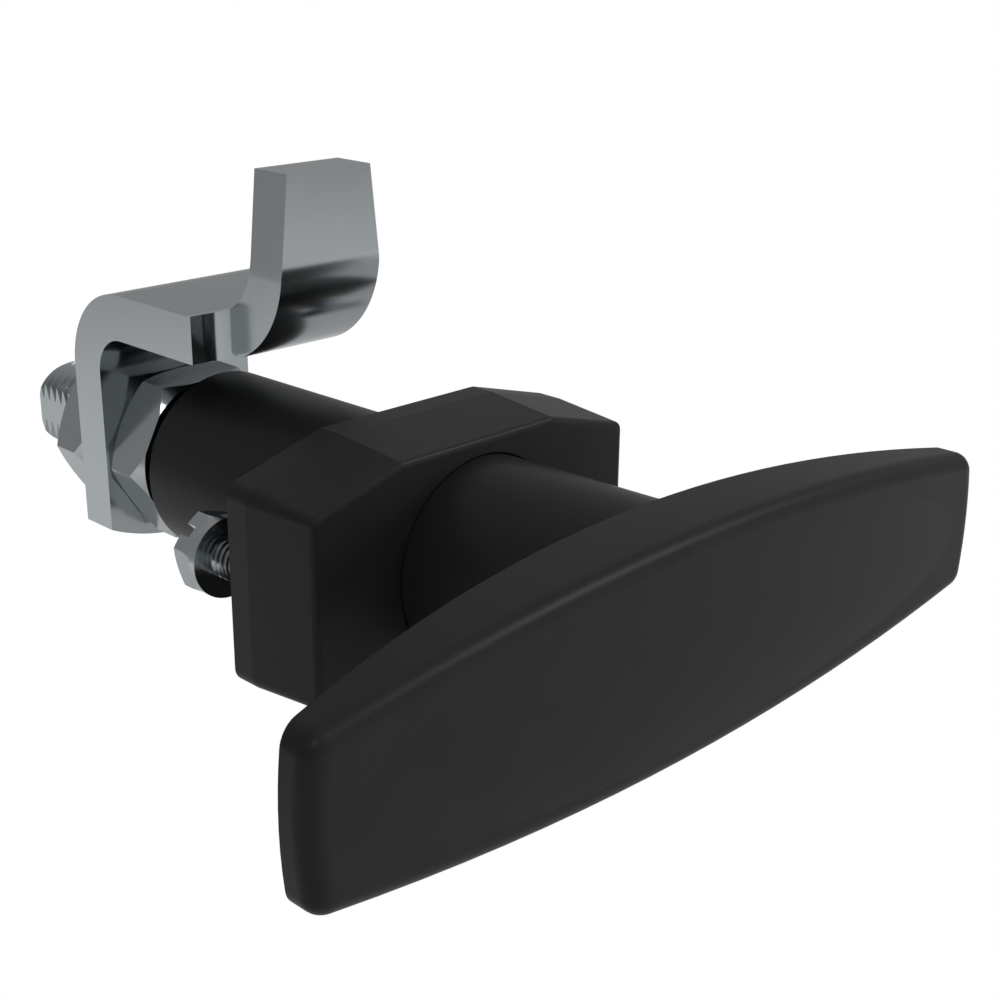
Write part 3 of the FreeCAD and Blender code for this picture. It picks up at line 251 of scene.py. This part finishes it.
def brass():
    material, start = new_material("brass")
    tarnish = start.noise(1.5 * MM, 4.0)
    finish_with(
        start,
        Base_Color=start.tint(tarnish, (0.74, 0.55, 0.24), (0.56, 0.38, 0.15)),
        Metallic=1.0,
        Roughness=0.25 + 0.2 * tarnish,
        Normal=start.bump(start.noise(0.2 * MM), 0.002 * MM),
    )
    return material


finishes["spring_steel"] = spring_steel()
finishes["brass_insert"] = brass()
print("with the inner metals:", sorted(finishes))

# %% [markdown]
# ## Acetal and rubber
#
# The washer under the handle is black acetal, a little smoother than the polyamide, and the seals
# are matt rubber with a dusty bloom. Neither is a metal. Their black is much the same, so it is the
# roughness and the depth of the grain that tell them apart.

# %% Washer and seals
def black_acetal():
    material, start = new_material("black_acetal")
    flow = start.noise(3 * MM)
    finish_with(
        start,
        Base_Color=start.tint(flow, (0.012, 0.012, 0.012), (0.018, 0.018, 0.018)),
        Roughness=0.30 + 0.08 * flow,
        Normal=start.bump(start.noise(0.25 * MM), 0.004 * MM),
    )
    return material


def seal_rubber():
    material, start = new_material("seal_rubber")
    bloom = start.noise(2.5 * MM, 4.0)
    finish_with(
        start,
        Base_Color=start.tint(bloom, (0.010, 0.010, 0.010), (0.022, 0.022, 0.021)),
        Roughness=0.68 + 0.15 * bloom,
        Normal=start.bump(start.noise(0.15 * MM), 0.01 * MM),
    )
    return material


finishes["acetal"] = black_acetal()
finishes["seal_rubber"] = seal_rubber()
print("all the finishes:", sorted(finishes))

# %% [markdown]
# ## Working on one piece
#
# Blender's operators act on whatever is selected, as a hand in the window would. With this many
# objects it is easy to change the wrong one, so each job starts by picking one piece and nothing
# else. The same few steps then open it for editing, close it again, or apply a modifier to it.

# %% Picking and changing a piece
def pick(piece):
    """Makes this object the only selected one and the active one."""
    bpy.ops.object.select_all(action="DESELECT")
    piece.select_set(True)
    bpy.context.view_layer.objects.active = piece


def to_edit(piece):
    """Picks this object and opens it in edit mode with everything selected."""
    pick(piece)
    bpy.ops.object.mode_set(mode="EDIT")
    bpy.ops.mesh.select_all(action="SELECT")


def to_object():
    bpy.ops.object.mode_set(mode="OBJECT")


def use_modifier(piece, kind, **settings):
    """Adds a modifier with these settings to a piece and applies it at once."""
    pick(piece)
    change = piece.modifiers.new(kind.lower(), kind)
    for name, value in settings.items():
        setattr(change, name, value)
    bpy.ops.object.modifier_apply(modifier=change.name)


# %% [markdown]
# ## Cutting a thread
#
# A thread is one tooth outline, repeated along a rod and wound round it, rising by one pitch in
# each turn. It could be drawn as a bump, but then the rod's outline stays smooth, and a printed
# copy has no thread. Here the tooth is drawn by extruding a point, an Array modifier repeats it, a
# Screw modifier winds it, and a bisect cuts both ends square and closes them. The rod lies along Y.

# %% A threaded rod
NEAR = 0.0001 * MM  # corners closer than this are one corner
TOOTH_DEPTH = 0.6134  # of the pitch, as on every metric thread
TOOTH_CREST = 0.125  # of the pitch, likewise
FLANK_SLOPE = math.tan(math.radians(30))


def threaded_rod(name, crest, pitch, low, high, sides):
    """A closed metric thread along Y, from station low to station high, of this crest radius."""
    depth = TOOTH_DEPTH * pitch
    flank = depth * FLANK_SLOPE
    top = TOOTH_CREST * pitch
    bottom = pitch - top - 2 * flank
    bpy.ops.object.select_all(action="DESELECT")
    bpy.ops.mesh.primitive_plane_add(size=pitch)
    rod = bpy.context.object
    rod.name = name
    to_edit(rod)
    bpy.ops.mesh.merge(type="CENTER")
    bpy.ops.transform.translate(value=(crest, low - pitch, 0))
    for out, along in ((0, top), (-depth, flank), (0, bottom), (depth, flank)):
        bpy.ops.mesh.extrude_vertices_move(TRANSFORM_OT_translate={"value": (out, along, 0)})
    to_object()
    turns = math.ceil((high - low) / pitch) + 2
    use_modifier(
        rod, "ARRAY", count=turns, use_relative_offset=False, use_constant_offset=True,
        constant_offset_displace=(0, pitch, 0), use_merge_vertices=True, merge_threshold=NEAR,
    )
    use_modifier(
        rod, "SCREW", axis="Y", angle=math.tau, screw_offset=pitch, steps=sides, render_steps=sides,
    )
    to_edit(rod)
    bpy.ops.mesh.remove_doubles(threshold=NEAR)
    for station, way in ((low, -1), (high, 1)):
        bpy.ops.mesh.select_all(action="SELECT")
        bpy.ops.mesh.bisect(
            plane_co=(0, station, 0), plane_no=(0, way, 0),
            use_fill=True, clear_outer=True, threshold=NEAR,
        )
    bpy.ops.mesh.select_all(action="SELECT")
    bpy.ops.mesh.normals_make_consistent(inside=False)
    to_object()
    return rod


print("thread outline: depth", TOOTH_DEPTH, "and crest", TOOTH_CREST, "of the pitch")

# %% [markdown]
# ## Turning a bar
#
# Plain round shapes, such as a shank, a cone or a countersink, are made as on a lathe: a disc is
# added at one end, and extruded and resized from station to station. A Boolean then unites two such
# shapes, cuts one out of the other, or keeps what both share. Its exact solver is slower than the
# fast one and leaves a closed skin where faces lie close together, as they do in a thread.

# %% A turned bar
def turned_bar(name, outline, sides):
    """A closed bar along Y, as from a lathe: the outline is pairs of radius and station."""
    radius, low = outline[0]
    bpy.ops.object.select_all(action="DESELECT")
    bpy.ops.mesh.primitive_circle_add(
        vertices=sides, radius=radius, fill_type="NGON",
        location=(0, low, 0), rotation=(math.pi / 2, 0, 0),
    )
    bar = bpy.context.object
    bar.name = name
    bpy.ops.object.transform_apply(location=True, rotation=True, scale=True)
    to_edit(bar)
    for next_radius, station in outline[1:]:
        bpy.ops.mesh.extrude_region_move(TRANSFORM_OT_translate={"value": (0, station - low, 0)})
        grown = next_radius / radius
        bpy.ops.transform.resize(value=(grown, 1, grown), center_override=(0, station, 0))
        radius, low = next_radius, station
    bpy.ops.mesh.select_all(action="SELECT")
    bpy.ops.mesh.normals_make_consistent(inside=False)
    to_object()
    return bar


def combine(piece, tool, operation):
    """Unites, cuts or overlaps a piece with a tool by an exact Boolean, and removes the tool."""
    use_modifier(piece, "BOOLEAN", operation=operation, solver="EXACT", object=tool)
    bpy.data.objects.remove(tool)
    return piece


print("bars are turned along Y")

# %% [markdown]
# ## Pieces cut from the frame's own shapes
#
# A threaded piece keeps the plain piece's outline, so the plain mesh is copied, its loose triangles
# are merged into one skin, and the copy is overlapped with a threaded bar. What both share is the
# finished piece, with every flat, slot and chamfer where it was. Each piece is then shaded smooth,
# dressed and put in its plain piece's place, and its open edges are counted: none may be left.

# %% A merged copy of a node
FLAT_WITHIN = math.radians(0.2)
SMOOTH_DEGREES = 12


def open_edges(piece):
    """How many edges don't have exactly two faces: none, on a closed piece."""
    counts = {}
    for face in piece.data.polygons:
        for edge in face.edge_keys:
            counts[edge] = counts.get(edge, 0) + 1
    return sum(count != 2 for count in counts.values())


def smooth_by_angle(piece, degrees):
    """Shades a piece smooth, except at the edges that turn by more than this."""
    pick(piece)
    bpy.ops.object.shade_smooth_by_angle(angle=math.radians(degrees))


def copy_of(node, name):
    """A copy of a node's mesh as one closed skin, in an object of its own."""
    piece = bpy.data.objects.new(name, frame["nodes"][node].data.copy())
    bpy.context.scene.collection.objects.link(piece)
    to_edit(piece)
    bpy.ops.mesh.customdata_custom_splitnormals_clear()
    bpy.ops.mesh.remove_doubles(threshold=NEAR)
    bpy.ops.mesh.select_all(action="SELECT")
    bpy.ops.mesh.dissolve_limited(angle_limit=FLAT_WITHIN)
    to_object()
    return piece


def place_in_frame(piece, node, body, slot, smooth=SMOOTH_DEGREES):
    """Finishes a new piece: its shading, its body, the node that it stands for, and its slot."""
    smooth_by_angle(piece, smooth)
    piece.data.materials.clear()
    piece.data.materials.append(finishes[slot])
    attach(piece, body)
    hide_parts(node)
    print(piece.name, len(piece.data.polygons), "faces,", open_edges(piece), "open edges")


print("new pieces are smooth up to", SMOOTH_DEGREES, "degrees")

# %% [markdown]
# ## The threaded spindle
#
# The spindle is a 10 mm rod with a fine thread, 1.25 mm from tooth to tooth, and a flat milled
# along each side, which leaves the teeth showing above and below the flats. Only its front stretch,
# inside the barrel, is plain, so the bar that it is overlapped with is plain in front and threaded
# behind.

# %% Spindle
SPINDLE_CREST = 4.98 * MM
SPINDLE_PITCH = 1.25 * MM
THREAD_SIDES = 72
THREAD_START = 20 * MM
SHANK_RADIUS = 6 * MM
SHANK_OVERLAP = 0.2 * MM
SHANK_SIDES = 64
SPINDLE_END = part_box("spindle")[1].y
SPINDLE_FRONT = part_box("spindle")[0].y

spindle = copy_of("spindle", "threaded_spindle")
shank_ends = (SPINDLE_FRONT - MM, THREAD_START + SHANK_OVERLAP)
shank = turned_bar("shank", [(SHANK_RADIUS, station) for station in shank_ends], SHANK_SIDES)
thread = threaded_rod(
    "thread", SPINDLE_CREST, SPINDLE_PITCH, THREAD_START, SPINDLE_END + MM, THREAD_SIDES
)
combine(spindle, combine(shank, thread, "UNION"), "INTERSECT")
place_in_frame(spindle, "spindle", "spindle", "plated_steel")

# %% [markdown]
# ## The two spindle nuts
#
# A nut is a slice of hexagon bar whose corners are turned off on both faces, so that its flat face
# is round and each side ends in a curve. The slice is a six-sided disc, extruded, and overlapped
# with a turned bar that has a cone at each end. Its thread is cut with the same outline as the
# spindle's and a hair larger, started at the same place, so that the teeth mesh.

# %% Nuts
NUT_ACROSS = 17 * MM
NUT_CORNER = NUT_ACROSS / 2 / math.cos(math.pi / 6)
NUT_TURN = math.radians(32.2)
NUT_FRONT_FACE = 8.75 * MM
NUT_REAR_FACE = 8.25 * MM
NUT_WIDEST = 9.95 * MM
NUT_CONE_DEPTH = 1.45 * MM
NUT_CONE_SIDES = 96
THREAD_PLAY = 0.04 * MM
TAP_CREST = SPINDLE_CREST + THREAD_PLAY
COUNTERSINK = 5.33 * MM
COUNTERSINK_DEPTH = 1.13 * MM
COUNTERSINK_LEAD = 0.1 * MM
COUNTERSINK_SIDES = 58


def spindle_nut(name, node):
    """A chamfered and threaded hexagon nut where this node is."""
    low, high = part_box(node)
    front, rear = low.y, high.y
    nut = turned_bar(name, [(NUT_CORNER, front), (NUT_CORNER, rear)], 6)
    to_edit(nut)
    bpy.ops.transform.rotate(value=NUT_TURN, orient_axis="Y", center_override=(0, 0, 0))
    to_object()
    cones = [
        (NUT_FRONT_FACE, front),
        (NUT_WIDEST, front + NUT_CONE_DEPTH),
        (NUT_WIDEST, rear - NUT_CONE_DEPTH),
        (NUT_REAR_FACE, rear),
    ]
    combine(nut, turned_bar("cones", cones, NUT_CONE_SIDES), "INTERSECT")
    tap = threaded_rod(
        "tap", TAP_CREST, SPINDLE_PITCH, THREAD_START, SPINDLE_END + MM, THREAD_SIDES
    )
    combine(nut, tap, "DIFFERENCE")
    for face, way in ((front, 1), (rear, -1)):
        mouth = (COUNTERSINK + COUNTERSINK_LEAD, face - way * COUNTERSINK_LEAD)
        end = (COUNTERSINK - COUNTERSINK_DEPTH, face + way * COUNTERSINK_DEPTH)
        combine(nut, turned_bar("countersink", [mouth, end], COUNTERSINK_SIDES), "DIFFERENCE")
    place_in_frame(nut, node, "spindle", "plated_steel")
    return nut


def corner_turn(piece):
    """How many degrees, out of 60, a hexagon's corner stands from the X axis."""
    places = [corner.co for corner in piece.data.vertices]
    corner = max(places, key=lambda place: math.hypot(place.x, place.z))
    return round(math.degrees(math.atan2(corner.z, corner.x)) % 60, 2)


for node in ("adjusting_nut", "lock_nut"):
    nut = spindle_nut("threaded_" + node, node)
    print("corners stand at", corner_turn(frame["nodes"][node]), "and", corner_turn(nut), "degrees")

# %% [markdown]
# ## The two fixing screws
#
# Each screw is a 4 mm machine screw, 0.7 mm from tooth to tooth, with a hexagon head, a collar
# under it and a driver slot. The thread shows between the collar and the flange. Both screws came
# in as one piece, and each is overlapped with a bar of its own, so that both threads turn the same
# way. The bar's head widens a little from the collar on, which trims the hexagon's corners there.

# %% Fixing screws
SCREW_CREST = 1.99 * MM
SCREW_PITCH = 0.7 * MM
SCREW_SIDES = 48
SCREW_PLACE = 16.3 * MM
SCREW_GRIP = 5.3 * MM
SCREW_COLLAR = 0.9 * MM
COLLAR_RADIUS = 3.88 * MM
SCREW_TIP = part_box("fixing_screws")[0].y
SCREW_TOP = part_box("fixing_screws")[1].y
HEAD_LEAD = 0.05 * MM
HEAD_SPREAD = 0.2 * MM
HEAD_SPREAD_RISE = 1.2 * MM
SCREW_HEAD = [
    (COLLAR_RADIUS, SCREW_GRIP - HEAD_LEAD),
    (COLLAR_RADIUS, SCREW_GRIP + SCREW_COLLAR),
    (COLLAR_RADIUS + HEAD_SPREAD, SCREW_GRIP + SCREW_COLLAR + HEAD_SPREAD_RISE),
    (COLLAR_RADIUS + 2 * HEAD_SPREAD, SCREW_TOP + MM),
]
SCREW_HEAD_SIDES = 96
THREAD_OVERLAP = 0.1 * MM

for side, word in ((-1, "left"), (1, "right")):
    screw = copy_of("fixing_screws", "fixing_screw_" + word)
    head = turned_bar("head", SCREW_HEAD, SCREW_HEAD_SIDES)
    thread_end = SCREW_GRIP + THREAD_OVERLAP
    thread = threaded_rod(
        "thread", SCREW_CREST, SCREW_PITCH, SCREW_TIP - MM, thread_end, SCREW_SIDES
    )
    bar = combine(head, thread, "UNION")
    to_edit(bar)
    bpy.ops.transform.translate(value=(side * SCREW_PLACE, 0, 0))
    to_object()
    combine(screw, bar, "INTERSECT")
    place_in_frame(screw, "fixing_screws", "root", "plated_steel")

# %% [markdown]
# ## The cam with its edges broken
#
# A pressed strap has no knife edges: the press and the tumbling barrel leave them rounded by a
# fifth of a millimetre, and the round catches the light. The strap is copied, and a narrow bevel
# runs along each edge that turns by more than thirty degrees. The last modifier lets the broad
# faces rule the shading, so that they stay flat right up to the round.

# %% Cam
CAM_EDGE = 0.2 * MM
CAM_EDGE_TURN = math.radians(30)
CAM_EDGE_STEPS = 3
CAM_SMOOTH_DEGREES = 28
BROAD_FACE_WEIGHT = 100

cam = copy_of("cam", "bent_cam")
use_modifier(
    cam, "BEVEL", width=CAM_EDGE, segments=CAM_EDGE_STEPS,
    limit_method="ANGLE", angle_limit=CAM_EDGE_TURN,
)
place_in_frame(cam, "cam", "spindle", "plated_steel", smooth=CAM_SMOOTH_DEGREES)
use_modifier(cam, "WEIGHTED_NORMAL", keep_sharp=True, weight=BROAD_FACE_WEIGHT)
print("broad faces count", BROAD_FACE_WEIGHT, "in the cam's shading")

# %% [markdown]
# ## Dress the pieces that came in
#
# The record names a material slot for each piece, and the finishes above are kept under the same
# names. Each piece that came in gets the finish of its slot.

# %% Dress the nodes
slot_of = {part["node"]: part["material_slot"] for part in frame["record"]["subparts"]}
for name, piece in frame["nodes"].items():
    piece.data.materials.clear()
    piece.data.materials.append(finishes[slot_of[name]])
print("dressed:", {slot: list(slot_of.values()).count(slot) for slot in finishes})

# %% [markdown]
# ## The floor
#
# The picture has a pure white ground and no shadow in view, so the latch hangs well above a pale
# floor, and its shadow falls out of the frame. The steel mirrors that floor, and the picture shows
# it brightest in a ring about the latch. So in reflections the floor's glow is dimmed close by and
# fades with distance, and to the camera alone it is plain white.

# %% The floor
FLOOR_DROP = 0.20
FLOOR_SIZE = 4.0
FLOOR_TONE = 0.78
LIT_WITHIN = 0.08
GLOWS_BEYOND = 0.16
FLOOR_GLOW_NEAR = 0.80
FLOOR_GLOW_FAR = 0.40
GLOW_CENTRE = (0.14, -0.14, 0.0)
GLOW_FADES_FROM = 0.80
GLOW_FADES_TO = 1.45
DIMMED_WITHIN = 0.25
FULL_BEYOND = 0.75
DIMMED_TO = 0.62


def pale_floor():
    """A real lit floor under the latch, and further out a glow that is white to the camera."""
    material, start = new_material("pale_floor")
    place = start.node("ShaderNodeTexCoord", output="Object")

    def by_distance(centre, near, far, first, last):
        """The first value within the near distance of a centre, and the last beyond the far one."""
        ends = {0: place, 1: centre}
        reach = start.node("ShaderNodeVectorMath", {"operation": "DISTANCE"}, ends, "Value")
        levels = {"From Min": near, "From Max": far, "To Min": first, "To Max": last}
        smooth = {"interpolation_type": "SMOOTHSTEP"}
        return start.node("ShaderNodeMapRange", smooth, {"Value": reach, **levels})

    camera_ray = start.node("ShaderNodeLightPath", output="Is Camera Ray")
    glossy_ray = start.node("ShaderNodeLightPath", output="Is Glossy Ray")
    clear_ray = start.node("ShaderNodeLightPath", output="Is Transmission Ray")
    seen = start.maths("MINIMUM", camera_ray + glossy_ray + clear_ray, 1.0)
    mirrored = by_distance(
        GLOW_CENTRE, GLOW_FADES_FROM, GLOW_FADES_TO, FLOOR_GLOW_NEAR, FLOOR_GLOW_FAR
    )
    dimmed = by_distance(GLOW_CENTRE, DIMMED_WITHIN, FULL_BEYOND, DIMMED_TO, 1.0)
    strength = start.maths("MAXIMUM", mirrored * dimmed, camera_ray)
    paint = (FLOOR_TONE, FLOOR_TONE, FLOOR_TONE, 1.0)
    lit = start.node("ShaderNodeBsdfDiffuse", None, {"Color": paint})
    glow = start.node("ShaderNodeEmission", None, {"Color": (1, 1, 1, 1), "Strength": strength})
    share = by_distance((0.0, 0.0, 0.0), LIT_WITHIN, GLOWS_BEYOND, 0.0, 1.0) * seen
    mixed = start.node("ShaderNodeMixShader", None, {0: share, 1: lit, 2: glow})
    start.node("ShaderNodeOutputMaterial", None, {"Surface": mixed})
    return material


bpy.ops.object.select_all(action="DESELECT")
bpy.ops.mesh.primitive_plane_add(size=FLOOR_SIZE, location=(0, 0, -FLOOR_DROP))
floor = bpy.context.object
floor.name = "floor"
floor.data.materials.append(pale_floor())
print("floor", FLOOR_DROP / MM, "mm under the spindle")

# %% [markdown]
# ## The room
#
# The steel mirrors the room too. Walls and a ceiling could be modelled, but the world can hold
# their tones: a ramp reads how steeply a ray climbs, and is palest straight up, pale straight down
# and darkest a little above the level. To the camera alone the room is plain white.

# %% The world
ROOM_TONES = [(0.0, 0.45), (0.42, 0.40), (0.50, 0.36), (0.60, 0.33), (0.76, 0.33), (1.0, 0.50)]

world = bpy.data.worlds.new("studio")
bpy.context.scene.world = world
world.use_nodes = True
world.node_tree.nodes.clear()
sky = Wire(world.node_tree)
direction = sky.node("ShaderNodeTexCoord", output="Generated")
climb = sky.node("ShaderNodeSeparateXYZ", None, {"Vector": direction}, "Z")
room = sky.node("ShaderNodeValToRGB", {"stops": ROOM_TONES}, {"Fac": climb * 0.5 + 0.5})
camera_ray = sky.node("ShaderNodeLightPath", output="Is Camera Ray")
plain_white = (1.0, 1.0, 1.0, 1.0)
colours = {0: camera_ray, 6: room, 7: plain_white}
shown = sky.node("ShaderNodeMix", {"data_type": "RGBA"}, colours, 2)
glow = sky.node("ShaderNodeBackground", None, {"Color": shown, "Strength": 1.0})
sky.node("ShaderNodeOutputWorld", None, {"Surface": glow})
print("world tones, from straight down to straight up:", ROOM_TONES)

# %% [markdown]
# ## The lamps
#
# Square area lamps give soft shading, which a point or a sun doesn't. One stands high on the right,
# a small one high on the left, and a broad one low in front on the right, for the faces of the
# black pieces. A lamp shows in polished steel as a bright square, and the picture has none from the
# low one, so that one is kept out of reflections.

# %% Lamps
def soft_lamp(name, place, width, watts, mirrored=True):
    """A square soft lamp at a place, turned to shine at the latch."""
    lamp = bpy.data.lights.new(name, "AREA")
    lamp.size = width
    lamp.energy = watts
    holder = bpy.data.objects.new(name, lamp)
    bpy.context.scene.collection.objects.link(holder)
    holder.location = place
    holder.rotation_euler = (-Vector(place)).to_track_quat("-Z", "Y").to_euler()
    holder.visible_glossy = mirrored
    print(name, watts, "W")


soft_lamp("top_lamp", (0.84, -0.54, 1.00), 0.45, 3.5)
soft_lamp("left_lamp", (-0.55, -0.55, 0.95), 0.20, 1.1)
soft_lamp("side_lamp", (1.05, -1.15, 0.22), 0.70, 13.5, mirrored=False)

# %% [markdown]
# ## Tones as written
#
# The Standard view shows a colour as it is written, where the other views would bend it.

# %% Tones as written
bpy.context.scene.view_settings.view_transform = "Standard"
